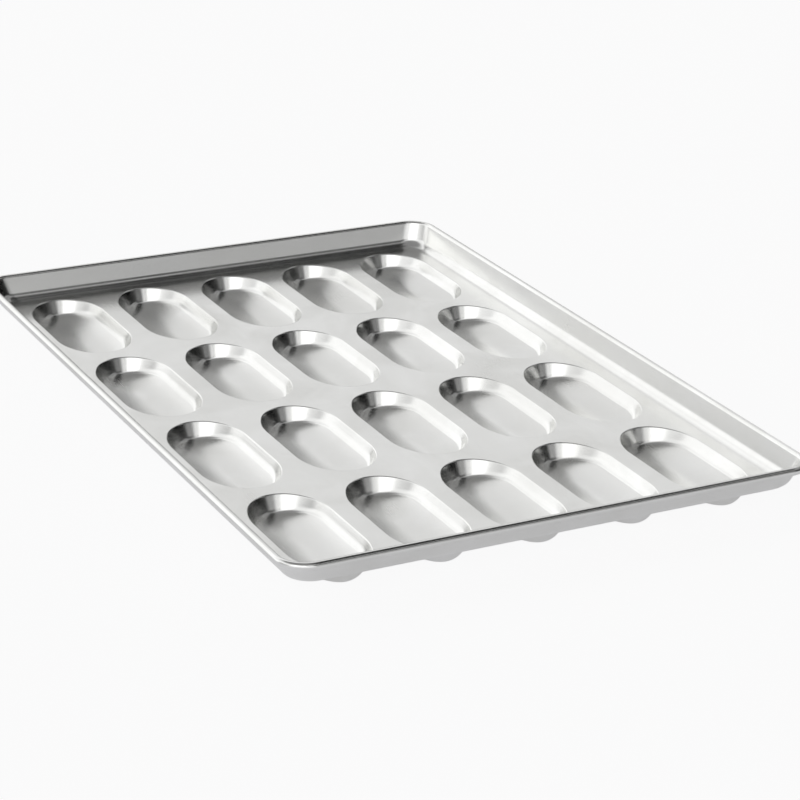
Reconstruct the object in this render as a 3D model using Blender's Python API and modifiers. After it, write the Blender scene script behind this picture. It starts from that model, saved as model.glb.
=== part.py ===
"""Sandwich loaf pan: one pressed metal sheet with rows of boat-shaped moulds in a flat deck,
low sloping walls all round, and a rim that is curled over a stiffening wire.

Metres, +Z up. The origin is the middle of the base, on the plane that the moulds rest on.
+X runs along the short side and +Y along the long side. The pan is the same from both ends.
"""

from math import acos, ceil, cos, floor, pi, radians, sin, tan

import bmesh
import bpy

MM = 0.001

# Outer size, measured over the rim
PAN_WIDTH = 454.0 * MM
PAN_LENGTH = 657.0 * MM
CORNER_RADIUS = 25.0 * MM

# Sheet and rim
SHEET_THICKNESS = 0.8 * MM
WIRE_RADIUS = 2.2 * MM
WIRE_CLEARANCE = 0.3 * MM
WIRE_JOINT_GAP = 1.0 * MM
CURL_EDGE_CLEARANCE = 0.4 * MM

# Walls: a straight slope on a wide fillet
RIM_HEIGHT = 22.5 * MM
WALL_SLOPE = radians(72.0)
FOOT_FILLET = 11.0 * MM
FOOT_CORNER_RADIUS = 18.0 * MM

# Moulds, measured at the deck, and the flat metal left between and around them
MOULD_WIDTH = 66.0 * MM
MOULD_LENGTH = 142.0 * MM
MOULD_DEPTH = 14.0 * MM
MOULD_NOSE_LENGTH = 44.0 * MM
MOULD_SPACING_X = 16.2 * MM
MOULD_SPACING_Y = 13.8 * MM
DECK_MARGIN = 2.0 * MM

# Section of a mould: a rolled edge, a straight wall, a fillet and a floor that sinks to a flat
# keel. The floor starts deep at the ends, below steep walls, and higher up along the sides.
MOULD_EDGE_ROLL = 1.5 * MM
END_SLOPE = radians(62.0)
END_FILLET = 1.8 * MM
END_FLOOR_DEPTH = 13.0 * MM
END_FLOOR_TILT = radians(6.5)
SIDE_SLOPE = radians(59.0)
SIDE_FILLET = 4.0 * MM
SIDE_FLOOR_DEPTH = 9.5 * MM
SIDE_FLOOR_TILT = radians(16.0)
KEEL_WIDTH = 8.0 * MM
KEEL_LENGTH = 60.0 * MM

# Facets
CORNER_STEPS = 6
CURL_STEP = radians(30.0)
FILLET_STEPS = 3
NOSE_STEPS = 4
EDGE_ROLL_STEPS = 2
WIRE_BEVEL_RESOLUTION = 2

# Worked out from the sizes above
DECK_Z = SHEET_THICKNESS + MOULD_DEPTH
RIM_TOP_Z = DECK_Z + RIM_HEIGHT
BEAD_INNER_RADIUS = WIRE_RADIUS + WIRE_CLEARANCE
BEAD_RADIUS = BEAD_INNER_RADIUS + SHEET_THICKNESS


def remove_old_objects():
    for old in list(bpy.data.objects):
        bpy.data.objects.remove(old, do_unlink=True)


def metal(name, colour, roughness):
    """A plain metal material."""
    material = bpy.data.materials.new(name)
    material.use_nodes = True
    shader = material.node_tree.nodes["Principled BSDF"]
    shader.inputs["Base Color"].default_value = (*colour, 1.0)
    shader.inputs["Metallic"].default_value = 1.0
    shader.inputs["Roughness"].default_value = roughness
    return material


def rounded_rectangle(inset, radius, z):
    """A ring of points inside the pan's outer outline, counterclockwise seen from above."""
    half_x = PAN_WIDTH / 2 - inset
    half_y = PAN_LENGTH / 2 - inset
    points = []
    for corner, (side_x, side_y) in enumerate(((1, 1), (-1, 1), (-1, -1), (1, -1))):
        for step in range(CORNER_STEPS + 1):
            angle = (corner + step / CORNER_STEPS) * pi / 2
            x = side_x * (half_x - radius) + radius * cos(angle)
            y = side_y * (half_y - radius) + radius * sin(angle)
            points.append((x, y, z))
    return points


def boat_outline(centre, half_width, half_length, nose, z):
    """Straight sides with half-elliptic ends, counterclockwise seen from above."""
    quarter = []
    for step in range(NOSE_STEPS + 1):
        angle = step / NOSE_STEPS * pi / 2
        quarter.append((half_width * cos(angle), half_length - nose + nose * sin(angle)))
    back = quarter + [(-x, y) for x, y in reversed(quarter[:-1])]
    front = [(-x, -y) for x, y in back]
    return [(centre[0] + x, centre[1] + y, z) for x, y in back + front]


def add_ring(mesh, points):
    return [mesh.verts.new(point) for point in points]


def loft(mesh, rings):
    """Join rings of as many points each, from the outermost to the innermost."""
    for outer, inner in zip(rings, rings[1:]):
        for i in range(len(outer)):
            j = (i + 1) % len(outer)
            mesh.faces.new((outer[i], outer[j], inner[j], inner[i]))


def curl_angles():
    """Angles round the bead's middle, from the curl's free edge back to the top of the wall."""
    wall_top = pi / 2 - WALL_SLOPE
    free_edge = 2 * pi + wall_top - acos((BEAD_INNER_RADIUS - CURL_EDGE_CLEARANCE) / BEAD_RADIUS)
    between = [k * CURL_STEP for k in range(ceil(wall_top / CURL_STEP), ceil(free_edge / CURL_STEP))]
    return [free_edge] + between[::-1] + [wall_top]


def wall_profile():
    """Inset from the outer edge, height and corner radius, from the curl's edge to the deck."""
    profile = []
    for angle in curl_angles():
        inset = BEAD_RADIUS * (1 + cos(angle))
        height = RIM_TOP_Z - BEAD_RADIUS * (1 - sin(angle))
        profile.append((inset, height, CORNER_RADIUS - inset))

    wall_top_inset, wall_top_height, wall_top_radius = profile[-1]
    fillet_height = FOOT_FILLET * (1 - cos(WALL_SLOPE))
    wall_run = (wall_top_height - DECK_Z - fillet_height) / tan(WALL_SLOPE)
    foot_inset = wall_top_inset + wall_run + FOOT_FILLET * sin(WALL_SLOPE)
    for step in range(FILLET_STEPS + 1):
        angle = WALL_SLOPE * (1 - step / FILLET_STEPS)
        inset = foot_inset - FOOT_FILLET * sin(angle)
        height = DECK_Z + FOOT_FILLET * (1 - cos(angle))
        share = (inset - wall_top_inset) / (foot_inset - wall_top_inset)
        radius = wall_top_radius + share * (FOOT_CORNER_RADIUS - wall_top_radius)
        profile.append((inset, height, radius))
    return profile


def profile_inset(depth, slope, fillet, floor_depth, floor_tilt, keel_inset):
    """How far a mould's side or end has come in from its edge at a depth."""
    roll_inset = MOULD_EDGE_ROLL * sin(slope)
    roll_depth = MOULD_EDGE_ROLL * (1 - cos(slope))
    wall_depth = floor_depth - fillet * (cos(floor_tilt) - cos(slope))
    wall_inset = roll_inset + (wall_depth - roll_depth) / tan(slope)
    if depth <= roll_depth:
        return MOULD_EDGE_ROLL * sin(acos(1 - depth / MOULD_EDGE_ROLL))
    if depth <= wall_depth:
        return roll_inset + (depth - roll_depth) / tan(slope)
    if depth <= floor_depth:
        angle = acos(cos(slope) + (depth - wall_depth) / fillet)
        return wall_inset + fillet * (sin(slope) - sin(angle))

    floor_inset = wall_inset + fillet * (sin(slope) - sin(floor_tilt))
    floor_run = keel_inset - floor_inset
    floor_drop = MOULD_DEPTH - floor_depth
    power = floor_run * tan(floor_tilt) / floor_drop
    return keel_inset - floor_run * ((MOULD_DEPTH - depth) / floor_drop) ** (1 / power)


def mould_section():
    """Half width, half length, nose length and depth of each contour, from the edge down."""
    side_wall_depth = SIDE_FLOOR_DEPTH - SIDE_FILLET * (cos(SIDE_FLOOR_TILT) - cos(SIDE_SLOPE))
    depths = [MOULD_EDGE_ROLL * (1 - cos(SIDE_SLOPE * step / EDGE_ROLL_STEPS))
              for step in range(EDGE_ROLL_STEPS + 1)]
    depths += [side_wall_depth, SIDE_FLOOR_DEPTH, END_FLOOR_DEPTH, MOULD_DEPTH]
    side = (SIDE_SLOPE, SIDE_FILLET, SIDE_FLOOR_DEPTH, SIDE_FLOOR_TILT, (MOULD_WIDTH - KEEL_WIDTH) / 2)
    end = (END_SLOPE, END_FILLET, END_FLOOR_DEPTH, END_FLOOR_TILT, (MOULD_LENGTH - KEEL_LENGTH) / 2)
    contours = []
    for depth in depths:
        half_width = MOULD_WIDTH / 2 - profile_inset(depth, *side)
        half_length = MOULD_LENGTH / 2 - profile_inset(depth, *end)
        nose = MOULD_NOSE_LENGTH * half_width / (MOULD_WIDTH / 2)
        contours.append((half_width, half_length, nose, depth))
    return contours


def mould_centres(deck_width, deck_length):
    """As many moulds as the flat deck holds, at their spacing, in the middle of the pan."""
    pitch_x = MOULD_WIDTH + MOULD_SPACING_X
    pitch_y = MOULD_LENGTH + MOULD_SPACING_Y
    columns = floor((deck_width - 2 * DECK_MARGIN + MOULD_SPACING_X) / pitch_x)
    rows = floor((deck_length - 2 * DECK_MARGIN + MOULD_SPACING_Y) / pitch_y)
    centres = []
    for row in range(rows):
        for column in range(columns):
            x = (column - (columns - 1) / 2) * pitch_x
            y = (row - (rows - 1) / 2) * pitch_y
            centres.append((x, y))
    return centres


def make_pan_sheet():
    """The upper face of the whole sheet as one open surface, thickened downwards."""
    mesh = bmesh.new()
    profile = wall_profile()
    rings = [add_ring(mesh, rounded_rectangle(inset, radius, height))
             for inset, height, radius in profile]
    loft(mesh, rings)

    foot_inset = profile[-1][0]
    deck_width = PAN_WIDTH - 2 * foot_inset
    deck_length = PAN_LENGTH - 2 * foot_inset
    contours = mould_section()
    deck_loops = [rings[-1]]
    for centre in mould_centres(deck_width, deck_length):
        mould = [add_ring(mesh, boat_outline(centre, half_width, half_length, nose, DECK_Z - depth))
                 for half_width, half_length, nose, depth in contours]
        loft(mesh, mould)
        mesh.faces.new(mould[-1])
        deck_loops.append(mould[0])

    deck_edges = []
    for loop in deck_loops:
        for i, vertex in enumerate(loop):
            deck_edges.append(mesh.edges.get((vertex, loop[i - 1])))
    bmesh.ops.triangle_fill(mesh, use_beauty=True, edges=deck_edges, normal=(0, 0, 1))

    data = bpy.data.meshes.new("pan_sheet")
    mesh.to_mesh(data)
    mesh.free()
    data.shade_smooth()
    data.set_sharp_from_angle(angle=radians(50.0))
    sheet = bpy.data.objects.new("pan_sheet", data)
    thickness = sheet.modifiers.new("Thickness", "SOLIDIFY")
    thickness.thickness = SHEET_THICKNESS
    thickness.offset = -1.0
    thickness.use_even_offset = True
    return sheet


def make_rim_wire():
    """The wire inside the curl: one length bent round the pan, its ends butting on one side."""
    z = RIM_TOP_Z - BEAD_RADIUS
    ring = rounded_rectangle(BEAD_RADIUS, CORNER_RADIUS - BEAD_RADIUS, z)
    side_x = PAN_WIDTH / 2 - BEAD_RADIUS
    route = [(side_x, WIRE_JOINT_GAP / 2, z)] + ring + [(side_x, -WIRE_JOINT_GAP / 2, z)]
    curve = bpy.data.curves.new("rim_wire", "CURVE")
    curve.dimensions = "3D"
    curve.bevel_depth = WIRE_RADIUS
    curve.bevel_resolution = WIRE_BEVEL_RESOLUTION
    curve.use_fill_caps = True
    spline = curve.splines.new("POLY")
    spline.points.add(len(route) - 1)
    for point, place in zip(spline.points, route):
        point.co = (*place, 1.0)
    return bpy.data.objects.new("rim_wire", curve)


def build():
    remove_old_objects()
    parts = bpy.data.collections.new("sandwich_loaf_pan")
    bpy.context.scene.collection.children.link(parts)
    pan = bpy.data.objects.new("sandwich_loaf_pan_origin", None)
    parts.objects.link(pan)

    sheet = make_pan_sheet()
    sheet.data.materials.append(metal("bright_sheet", (0.80, 0.80, 0.79), 0.28))
    wire = make_rim_wire()
    wire.data.materials.append(metal("steel_wire", (0.56, 0.57, 0.58), 0.40))
    for piece in (sheet, wire):
        parts.objects.link(piece)
        piece.parent = pan


build()
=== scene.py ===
"""Looks of the sandwich loaf pan: the pressed sheet as a fine surface, its bright aluminised
finish, the wire in its rim, and a white studio with one dark side.

Metres, +Z up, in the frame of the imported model. +X runs along the pan's short side and +Y
along its long side. The photograph looks from the front left corner, over the short side.
"""

from math import acos, asin, cos, pi, radians, sin, tan

import bmesh
import bpy
from mathutils import Matrix, Vector


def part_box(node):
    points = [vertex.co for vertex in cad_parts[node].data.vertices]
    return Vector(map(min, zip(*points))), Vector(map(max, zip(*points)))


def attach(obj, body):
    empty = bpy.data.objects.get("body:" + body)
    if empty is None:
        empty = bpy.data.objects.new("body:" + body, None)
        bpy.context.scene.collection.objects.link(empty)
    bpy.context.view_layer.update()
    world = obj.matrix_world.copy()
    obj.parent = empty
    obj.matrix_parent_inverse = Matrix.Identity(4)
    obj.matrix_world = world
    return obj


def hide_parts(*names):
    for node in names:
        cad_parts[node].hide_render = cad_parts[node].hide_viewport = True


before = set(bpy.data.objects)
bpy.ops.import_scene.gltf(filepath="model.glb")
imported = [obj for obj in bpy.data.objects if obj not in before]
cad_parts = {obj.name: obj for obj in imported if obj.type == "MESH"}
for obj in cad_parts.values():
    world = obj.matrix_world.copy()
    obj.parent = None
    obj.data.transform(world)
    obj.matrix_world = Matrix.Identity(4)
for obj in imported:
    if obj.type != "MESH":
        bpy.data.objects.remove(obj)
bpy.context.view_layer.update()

MM = 0.001
DEGREES_PER_RADIAN = 180.0 / pi

# Outer sizes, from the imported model
SHEET_LOW, SHEET_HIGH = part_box("pan_sheet")
PAN_WIDTH = SHEET_HIGH.x - SHEET_LOW.x
PAN_LENGTH = SHEET_HIGH.y - SHEET_LOW.y
RIM_TOP_Z = SHEET_HIGH.z

# Sheet, curl and walls
SHEET_THICKNESS = 0.8 * MM
CORNER_RADIUS = 25.0 * MM
CURL_INNER_RADIUS = 2.5 * MM
CURL_RADIUS = CURL_INNER_RADIUS + SHEET_THICKNESS
CURL_EDGE_CLEARANCE = 0.4 * MM
RIM_HEIGHT = 22.5 * MM
DECK_Z = RIM_TOP_Z - RIM_HEIGHT
WALL_SLOPE = radians(72.0)
FOOT_FILLET = 11.0 * MM
FOOT_CORNER_RADIUS = 18.0 * MM

# Moulds
MOULD_COLUMNS = 5
MOULD_ROWS = 4
MOULD_PITCH_X = 82.2 * MM
MOULD_PITCH_Y = 155.8 * MM
MOULD_WIDTH = 66.0 * MM
MOULD_LENGTH = 142.0 * MM
MOULD_NOSE_LENGTH = 44.0 * MM
MOULD_DEPTH = DECK_Z - SHEET_THICKNESS

# Surface of a mould: a rolled edge and a steep wall run down from the outline to a trough. The
# trough's floor is lowest along the middle and rises to the sides and to the ends. Its lowest
# line is rounded over a share of half the width, and it lies level over the even length.
MOULD_EDGE_ROLL = 1.5 * MM
END_SLOPE = radians(62.0)
SIDE_SLOPE = radians(59.0)
FLOOR_SIDE_RISE = 8.0 * MM
FLOOR_SIDE_POWER = 1.6
FLOOR_KEEL_ROUNDING = 0.14
FLOOR_END_RISE = 1.0 * MM
FLOOR_END_POWER = 2.0
FLOOR_EVEN_LENGTH = 40.0 * MM
FOOT_BLEND = 3.0 * MM

# Fineness of the surface
CORNER_STEPS = 24
CURL_STEPS = 24
FILLET_STEPS = 14
NOSE_STEPS = 20
EDGE_ROLL_STEPS = 7
SIDE_STEPS = 4
WALL_STEPS = 34
WALL_RUN = 11.0 * MM
TROUGH_STEPS = 14
SLIT = 0.5 * MM
FLAT_COLLAR = 0.4 * MM
SHARP_EDGE_ANGLE = radians(40.0)

# The photograph's camera, solved from the rim's outline
CAMERA_PLACE = Vector((-0.9194, -1.7876, 0.7868 + RIM_TOP_Z))
CAMERA_YAW = radians(28.044)
CAMERA_PITCH = radians(22.164)
CAMERA_ROLL = radians(1.749)
CAMERA_LENS = 116.22
CAMERA_SENSOR = 36.0
CAMERA_REACH = 60.0


def rounded_rectangle(inset, radius, z):
    """A ring of points inside the pan's outer outline, counterclockwise seen from above."""
    half_x = PAN_WIDTH / 2 - inset
    half_y = PAN_LENGTH / 2 - inset
    points = []
    for corner, (side_x, side_y) in enumerate(((1, 1), (-1, 1), (-1, -1), (1, -1))):
        for step in range(CORNER_STEPS + 1):
            angle = (corner + step / CORNER_STEPS) * pi / 2
            x = side_x * (half_x - radius) + radius * cos(angle)
            y = side_y * (half_y - radius) + radius * sin(angle)
            points.append((x, y, z))
    return points


def boat_outline(half_width, half_length, nose):
    """Places round a mould with straight sides and half-elliptic ends, counterclockwise seen from
    above, each with how far it has turned from the side (0) to the end (1)."""
    straight = half_length - nose
    quarter = [(half_width, straight * step / SIDE_STEPS, 0.0) for step in range(SIDE_STEPS)]
    for step in range(NOSE_STEPS + 1):
        angle = step / NOSE_STEPS * pi / 2
        quarter.append((half_width * cos(angle), straight + nose * sin(angle), sin(angle) ** 2))
    back = quarter + [(-x, y, turn) for x, y, turn in reversed(quarter[:-1])]
    front = [(-x, -y, turn) for x, y, turn in back[1:-1]]
    return back + front


def add_ring(mesh, points):
    return [mesh.verts.new(point) for point in points]


def loft(mesh, rings):
    """Join rings of as many points each, from the outermost to the innermost."""
    for outer, inner in zip(rings, rings[1:]):
        for i in range(len(outer)):
            j = (i + 1) % len(outer)
            mesh.faces.new((outer[i], outer[j], inner[j], inner[i]))


def wall_profile():
    """Inset from the outer edge, height and corner radius, from the curl's edge to the deck."""
    wall_top = pi / 2 - WALL_SLOPE
    free_edge = 2 * pi + wall_top - acos((CURL_INNER_RADIUS - CURL_EDGE_CLEARANCE) / CURL_RADIUS)
    profile = []
    for step in range(CURL_STEPS + 1):
        angle = free_edge + (wall_top - free_edge) * step / CURL_STEPS
        inset = CURL_RADIUS * (1 + cos(angle))
        height = RIM_TOP_Z - CURL_RADIUS * (1 - sin(angle))
        profile.append((inset, height, CORNER_RADIUS - inset))

    wall_top_inset, wall_top_height, wall_top_radius = profile[-1]
    fillet_height = FOOT_FILLET * (1 - cos(WALL_SLOPE))
    wall_run = (wall_top_height - DECK_Z - fillet_height) / tan(WALL_SLOPE)
    foot_inset = wall_top_inset + wall_run + FOOT_FILLET * sin(WALL_SLOPE)
    for step in range(FILLET_STEPS + 1):
        angle = WALL_SLOPE * (1 - step / FILLET_STEPS)
        inset = foot_inset - FOOT_FILLET * sin(angle)
        height = DECK_Z + FOOT_FILLET * (1 - cos(angle))
        share = (inset - wall_top_inset) / (foot_inset - wall_top_inset)
        radius = wall_top_radius + share * (FOOT_CORNER_RADIUS - wall_top_radius)
        profile.append((inset, height, radius))
    profile.append((foot_inset + FLAT_COLLAR, DECK_Z, FOOT_CORNER_RADIUS))
    return profile


def mould_depth(x, y, inset, slope):
    """Depth below the deck at a place in a mould, whose wall there has this inset and slope."""
    roll_inset = MOULD_EDGE_ROLL * sin(slope)
    if inset < roll_inset:
        wall = MOULD_EDGE_ROLL * (1 - cos(asin(inset / MOULD_EDGE_ROLL)))
    else:
        wall = MOULD_EDGE_ROLL * (1 - cos(slope)) + (inset - roll_inset) * tan(slope)
    aside = abs(x) / (MOULD_WIDTH / 2)
    along = max(0.0, abs(y) - FLOOR_EVEN_LENGTH / 2) / (MOULD_LENGTH / 2 - FLOOR_EVEN_LENGTH / 2)
    rounded = (aside ** 2 + FLOOR_KEEL_ROUNDING ** 2) ** 0.5
    side_rise = FLOOR_SIDE_RISE * (rounded ** FLOOR_SIDE_POWER - FLOOR_KEEL_ROUNDING ** FLOOR_SIDE_POWER)
    floor = MOULD_DEPTH - side_rise - FLOOR_END_RISE * along ** FLOOR_END_POWER
    overlap = max(0.0, 1 - abs(wall - floor) / FOOT_BLEND)
    return min(wall, floor) - overlap ** 2 * FOOT_BLEND / 4


def mould_rings(centre):
    """Rings of points over a mould's surface, from a narrow flat collar inwards."""
    half_width = MOULD_WIDTH / 2
    half_length = MOULD_LENGTH / 2
    roll = MOULD_EDGE_ROLL * sin(SIDE_SLOPE)
    insets = [-FLAT_COLLAR]
    insets += [roll * sin(step / EDGE_ROLL_STEPS * pi / 2) for step in range(EDGE_ROLL_STEPS)]
    insets += [roll + (WALL_RUN - roll) * step / WALL_STEPS for step in range(WALL_STEPS)]
    trough = half_width - SLIT - WALL_RUN
    insets += [WALL_RUN + trough * step / TROUGH_STEPS for step in range(TROUGH_STEPS + 1)]
    rings = []
    for inset in insets:
        width = half_width - inset
        nose = MOULD_NOSE_LENGTH * width / half_width
        ring = []
        for x, y, turn in boat_outline(width, half_length - inset, nose):
            slope = SIDE_SLOPE + (END_SLOPE - SIDE_SLOPE) * turn
            depth = mould_depth(x, y, max(0.0, inset), slope)
            ring.append((centre[0] + x, centre[1] + y, DECK_Z - depth))
        rings.append(ring)
    return rings


def close_slit(mesh, ring):
    """Fill the narrow slit inside the innermost ring, pair by pair from one end to the other."""
    count = len(ring)
    for i in range(count // 4, count // 4 + count // 2):
        j = (count // 2 - i) % count
        k = (count // 2 - i - 1) % count
        corners = [ring[i], ring[(i + 1) % count], ring[k], ring[j]]
        corners = [corner for n, corner in enumerate(corners) if corner not in corners[:n]]
        if len(corners) > 2:
            mesh.faces.new(corners)


def mould_centres():
    centres = []
    for row in range(MOULD_ROWS):
        for column in range(MOULD_COLUMNS):
            x = (column - (MOULD_COLUMNS - 1) / 2) * MOULD_PITCH_X
            y = (row - (MOULD_ROWS - 1) / 2) * MOULD_PITCH_Y
            centres.append((x, y))
    return centres


def make_sheet():
    """The upper face of the whole sheet as one open surface, thickened downwards."""
    mesh = bmesh.new()
    rings = [add_ring(mesh, rounded_rectangle(inset, radius, height))
             for inset, height, radius in wall_profile()]
    loft(mesh, rings)

    deck_loops = [rings[-1]]
    for centre in mould_centres():
        mould = [add_ring(mesh, points) for points in mould_rings(centre)]
        loft(mesh, mould)
        close_slit(mesh, mould[-1])
        deck_loops.append(mould[0])

    deck_edges = []
    for loop in deck_loops:
        for i, vertex in enumerate(loop):
            deck_edges.append(mesh.edges.get((vertex, loop[i - 1])))
    bmesh.ops.triangle_fill(mesh, use_beauty=True, edges=deck_edges, normal=(0, 0, 1))

    data = bpy.data.meshes.new("pressed_sheet")
    mesh.to_mesh(data)
    mesh.free()
    data.shade_smooth()
    data.set_sharp_from_angle(angle=SHARP_EDGE_ANGLE)
    sheet = bpy.data.objects.new("pressed_sheet", data)
    bpy.context.scene.collection.objects.link(sheet)
    thickness = sheet.modifiers.new("Thickness", "SOLIDIFY")
    thickness.thickness = SHEET_THICKNESS
    thickness.offset = -1.0
    thickness.use_even_offset = True
    return sheet


class Nodes:
    """A short way to add nodes to a material or a world and join them."""

    def __init__(self, owner):
        owner.use_nodes = True
        self.tree = owner.node_tree
        self.tree.nodes.clear()

    def add(self, kind, inputs=None, **settings):
        node = self.tree.nodes.new(kind)
        for name, value in settings.items():
            setattr(node, name, value)
        for name, value in (inputs or {}).items():
            self.set(node.inputs[name], value)
        return node

    def set(self, socket, value):
        if isinstance(value, bpy.types.NodeSocket):
            self.tree.links.new(value, socket)
        else:
            socket.default_value = value

    def math(self, operation, first, second=0.0, clamp=False):
        node = self.add("ShaderNodeMath", operation=operation, use_clamp=clamp)
        self.set(node.inputs[0], first)
        self.set(node.inputs[1], second)
        return node.outputs[0]

    def remap(self, value, low, high, to_low=0.0, to_high=1.0, curve="LINEAR"):
        node = self.add("ShaderNodeMapRange", {"Value": value, "From Min": low, "From Max": high,
                                               "To Min": to_low, "To Max": to_high},
                        interpolation_type=curve)
        return node.outputs["Result"]

    def noise(self, vector, scale, detail=3.0, roughness=0.5, distortion=0.0):
        node = self.add("ShaderNodeTexNoise", {"Vector": vector, "Scale": scale, "Detail": detail,
                                               "Roughness": roughness, "Distortion": distortion})
        return node.outputs["Fac"]

    def stretch(self, vector, scale, rotation=0.0):
        node = self.add("ShaderNodeMapping", {"Vector": vector, "Scale": scale,
                                              "Rotation": (0.0, 0.0, rotation)})
        return node.outputs["Vector"]

    def mix_colour(self, factor, first, second, blend="MIX"):
        node = self.add("ShaderNodeMix", data_type="RGBA", blend_type=blend)
        self.set(node.inputs[0], factor)
        self.set(node.inputs[6], first)
        self.set(node.inputs[7], second)
        return node.outputs[2]


# Aluminised steel: colours, and the scales of its marks (more is finer). The grain is drawn out
# along the pan.
STEEL_BRIGHT = (0.870, 0.872, 0.860, 1.0)
STEEL_DULL = (0.800, 0.800, 0.780, 1.0)
STEEL_MOTTLE = (0.76, 0.76, 0.75, 1.0)
STEEL_GRAIN_SCALE = (1400.0, 22.0, 1400.0)
STEEL_SMUDGE_SCALE = 14.0
STEEL_MOTTLE_SCALE = 420.0
STEEL_WAVE_SCALE = 9.0

# Drawn wire: colours, and the scales of its lines and its film
WIRE_DARK = (0.50, 0.51, 0.52, 1.0)
WIRE_LIGHT = (0.62, 0.62, 0.62, 1.0)
WIRE_LINE_SCALE = (60.0, 60.0, 2400.0)
WIRE_FILM_SCALE = 90.0


def aluminised_steel():
    """Bright aluminised sheet: satin, with a fine rolling grain along the pan and soft smudges."""
    material = bpy.data.materials.new("aluminised_steel")
    nodes = Nodes(material)
    place = nodes.add("ShaderNodeTexCoord").outputs["Object"]

    grain = nodes.noise(nodes.stretch(place, STEEL_GRAIN_SCALE), 1.0, 4.0, 0.6)
    smudges = nodes.noise(place, STEEL_SMUDGE_SCALE, 3.0, 0.55, 0.6)
    mottle = nodes.noise(place, STEEL_MOTTLE_SCALE, 2.0, 0.5)

    colour = nodes.mix_colour(nodes.remap(smudges, 0.35, 0.75), STEEL_BRIGHT, STEEL_DULL)
    colour = nodes.mix_colour(nodes.remap(mottle, 0.3, 0.8, 0.0, 0.25), colour, STEEL_MOTTLE)

    roughness = nodes.remap(smudges, 0.3, 0.75, 0.17, 0.27)
    roughness = nodes.math("ADD", roughness, nodes.remap(grain, 0.3, 0.7, -0.02, 0.03))

    fine = nodes.add("ShaderNodeBump", {"Height": grain, "Strength": 0.10, "Distance": 0.0003})
    waves = nodes.noise(place, STEEL_WAVE_SCALE, 1.0, 0.4)
    wavy = nodes.add("ShaderNodeBump", {"Height": waves, "Strength": 0.25, "Distance": 0.0012,
                                        "Normal": fine.outputs["Normal"]})
    shader = nodes.add("ShaderNodeBsdfPrincipled", {
        "Base Color": colour, "Metallic": 1.0, "Roughness": roughness, "Normal": wavy.outputs["Normal"]})
    output = nodes.add("ShaderNodeOutputMaterial")
    nodes.set(output.inputs["Surface"], shader.outputs[0])
    return material


def drawn_wire():
    """Grey steel wire with fine lines along its length and a thin dull film."""
    material = bpy.data.materials.new("drawn_wire")
    nodes = Nodes(material)
    place = nodes.add("ShaderNodeTexCoord").outputs["Object"]
    lines = nodes.noise(nodes.stretch(place, WIRE_LINE_SCALE), 1.0, 3.0, 0.6)
    film = nodes.noise(place, WIRE_FILM_SCALE, 3.0, 0.6)
    colour = nodes.mix_colour(film, WIRE_DARK, WIRE_LIGHT)
    roughness = nodes.remap(lines, 0.3, 0.7, 0.32, 0.48)
    bump = nodes.add("ShaderNodeBump", {"Height": lines, "Strength": 0.2, "Distance": 0.0002})
    shader = nodes.add("ShaderNodeBsdfPrincipled", {
        "Base Color": colour, "Metallic": 1.0, "Roughness": roughness, "Normal": bump.outputs["Normal"]})
    output = nodes.add("ShaderNodeOutputMaterial")
    nodes.set(output.inputs["Surface"], shader.outputs[0])
    return material


# The floor is a square under the pan. Plain white is laid over its own shading, by one share
# where the camera sees it and by another where the metal mirrors it.
WHITE = (1.0, 1.0, 1.0, 1.0)
FLOOR_HALF_SIZE = 12.0
FLOOR_DROP = 0.2 * MM
FLOOR_PAINT = (0.89, 0.885, 0.92, 1.0)
FLOOR_SHARE_SEEN = 0.92
FLOOR_SHARE_MIRRORED = 0.3


def make_floor():
    """A plain pale floor, nearly white to the camera apart from the pan's soft shadow."""
    mesh = bmesh.new()
    bmesh.ops.create_grid(mesh, x_segments=1, y_segments=1, size=FLOOR_HALF_SIZE)
    data = bpy.data.meshes.new("studio_floor")
    mesh.to_mesh(data)
    mesh.free()
    floor = bpy.data.objects.new("studio_floor", data)
    floor.location.z = -FLOOR_DROP
    bpy.context.scene.collection.objects.link(floor)

    material = bpy.data.materials.new("studio_floor")
    nodes = Nodes(material)
    paint = nodes.add("ShaderNodeBsdfDiffuse", {"Color": FLOOR_PAINT})
    glow = nodes.add("ShaderNodeEmission", {"Color": WHITE, "Strength": 1.0})
    ray = nodes.add("ShaderNodeLightPath")
    seen = nodes.math("MULTIPLY", ray.outputs["Is Camera Ray"], FLOOR_SHARE_SEEN)
    mirrored = nodes.math("MULTIPLY", ray.outputs["Is Glossy Ray"], FLOOR_SHARE_MIRRORED)
    share = nodes.math("ADD", seen, mirrored)
    mixed = nodes.add("ShaderNodeMixShader")
    nodes.set(mixed.inputs[0], share)
    nodes.set(mixed.inputs[1], paint.outputs[0])
    nodes.set(mixed.inputs[2], glow.outputs[0])
    output = nodes.add("ShaderNodeOutputMaterial")
    nodes.set(output.inputs["Surface"], mixed.outputs[0])
    data.materials.append(material)


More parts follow.
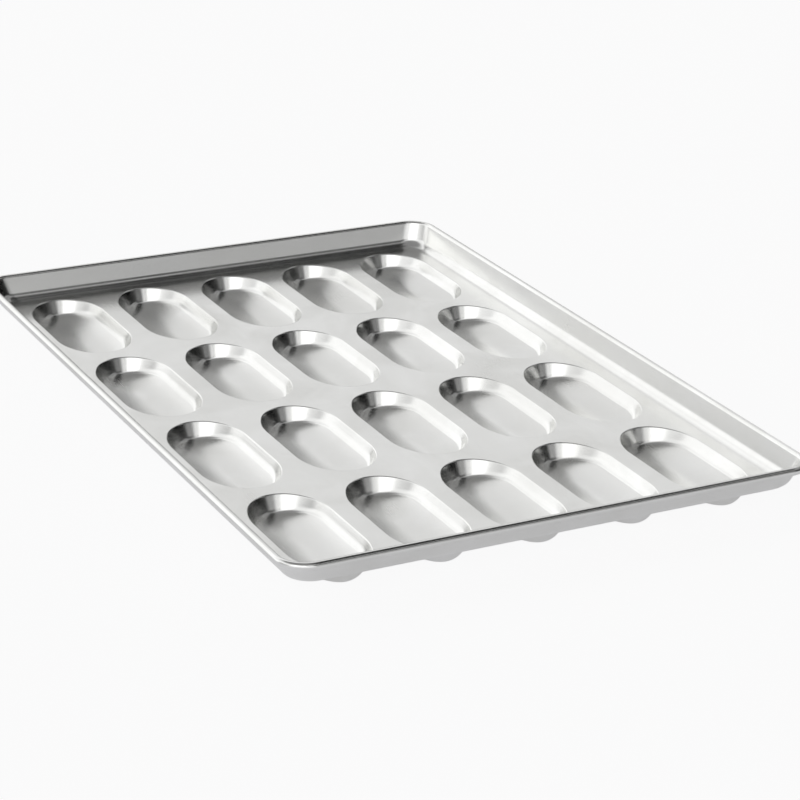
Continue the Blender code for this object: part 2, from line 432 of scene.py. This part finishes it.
# The studio that the metal reflects, chosen by fits to the photograph. Azimuth 0 is +Y and 90
# is +X; elevation is above the horizon; both are in degrees. Each panel has its name, the azimuth
# of its middle, half its width, the softness of its sides, its lower and upper elevation, the
# softness of these and its brightness. Later panels lie over earlier ones.
STUDIO_BASE = 1.0
STUDIO_PANELS = (
    ("ceiling", 0.0, 200.0, 5.0, 52.0, 100.0, 8.0, 0.25),
    ("low_left", -42.0, 14.0, 6.0, -90.0, 8.5, 2.0, 0.66),
    ("left_low", -84.0, 22.0, 8.0, -90.0, 24.0, 4.0, 0.50),
    ("left_bright", -42.0, 26.0, 8.0, 8.5, 34.0, 3.0, 1.20),
    ("back_left", -8.0, 18.0, 8.0, 3.5, 22.0, 4.0, 1.25),
    ("top_back", -6.0, 14.0, 6.0, 25.0, 45.0, 4.0, 1.20),
    ("back_strip", 26.0, 19.0, 6.0, 13.5, 38.0, 4.0, 0.80),
    ("back_light", 28.0, 20.0, 6.0, 15.5, 22.5, 2.5, 0.90),
    ("low_back", 29.0, 11.0, 5.0, -90.0, 14.0, 5.0, 0.26),
    ("right_back", 51.0, 6.0, 4.0, 8.0, 40.0, 5.0, 0.30),
    ("dark_right", 97.0, 46.0, 6.0, -90.0, 31.0, 4.0, 0.0),
    ("mid_right", 92.0, 33.0, 6.0, 33.0, 46.0, 4.0, 0.16),
    ("dark_ceiling", 90.0, 50.0, 8.0, 49.0, 72.0, 4.0, 0.02),
    ("dark_front_right", 148.0, 24.0, 6.0, 26.0, 48.0, 5.0, 0.06),
    ("front_right", 153.0, 12.0, 4.0, -90.0, 24.0, 3.0, 0.42),
    ("front_dark", -163.0, 18.0, 6.0, 36.0, 41.0, 2.0, 0.10),
    ("front_left", -137.0, 27.0, 6.0, 24.0, 50.0, 4.0, 1.50),
)


def make_world():
    """A white studio round the pan with a dark side on the right, white to the camera."""
    world = bpy.data.worlds.new("studio")
    bpy.context.scene.world = world
    nodes = Nodes(world)
    ray_direction = nodes.add("ShaderNodeTexCoord").outputs["Generated"]
    height = nodes.add("ShaderNodeSeparateXYZ", {"Vector": ray_direction}).outputs["Z"]
    elevation = nodes.math("MULTIPLY", nodes.math("ARCSINE", height), DEGREES_PER_RADIAN)
    level = STUDIO_BASE
    for name, azimuth, half_width, side_soft, low, high, soft, brightness in STUDIO_PANELS:
        turned = nodes.add("ShaderNodeVectorRotate", {"Vector": ray_direction, "Angle": radians(azimuth)},
                           rotation_type="Z_AXIS", label=name)
        parts = nodes.add("ShaderNodeSeparateXYZ", {"Vector": turned.outputs["Vector"]})
        aside = nodes.math("ARCTAN2", parts.outputs["X"], parts.outputs["Y"])
        aside = nodes.math("MULTIPLY", nodes.math("ABSOLUTE", aside), DEGREES_PER_RADIAN)
        share = nodes.remap(aside, half_width + side_soft, half_width - side_soft, curve="SMOOTHSTEP")
        above = nodes.remap(elevation, low - soft, low + soft, curve="SMOOTHSTEP")
        below = nodes.remap(elevation, high + soft, high - soft, curve="SMOOTHSTEP")
        share = nodes.math("MULTIPLY", nodes.math("MULTIPLY", share, above), below)
        mixed = nodes.add("ShaderNodeMix", data_type="FLOAT")
        nodes.set(mixed.inputs[0], share)
        nodes.set(mixed.inputs[2], level)
        nodes.set(mixed.inputs[3], brightness)
        level = mixed.outputs[0]
    studio = nodes.add("ShaderNodeBackground", {"Color": WHITE})
    nodes.set(studio.inputs["Strength"], level)
    white = nodes.add("ShaderNodeBackground", {"Color": WHITE, "Strength": 1.0})
    ray = nodes.add("ShaderNodeLightPath")
    mixed = nodes.add("ShaderNodeMixShader")
    nodes.set(mixed.inputs[0], ray.outputs["Is Camera Ray"])
    nodes.set(mixed.inputs[1], studio.outputs[0])
    nodes.set(mixed.inputs[2], white.outputs[0])
    output = nodes.add("ShaderNodeOutputWorld")
    nodes.set(output.inputs["Surface"], mixed.outputs[0])


def make_camera():
    camera = bpy.data.objects.new("camera", bpy.data.cameras.new("camera"))
    camera.data.lens = CAMERA_LENS
    camera.data.sensor_width = CAMERA_SENSOR
    camera.data.clip_end = CAMERA_REACH
    camera.matrix_world = (Matrix.Translation(CAMERA_PLACE) @ Matrix.Rotation(-CAMERA_YAW, 4, "Z")
                           @ Matrix.Rotation(pi / 2 - CAMERA_PITCH, 4, "X")
                           @ Matrix.Rotation(CAMERA_ROLL, 4, "Z"))
    bpy.context.scene.collection.objects.link(camera)
    bpy.context.scene.camera = camera


make_camera()
make_world()
make_floor()

pressed_sheet = make_sheet()
pressed_sheet.data.materials.append(aluminised_steel())
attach(pressed_sheet, "root")
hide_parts("pan_sheet")

rim_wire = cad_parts["rim_wire"]
rim_wire.data.materials.clear()
rim_wire.data.materials.append(drawn_wire())

bpy.context.scene.view_settings.view_transform = "Standard"
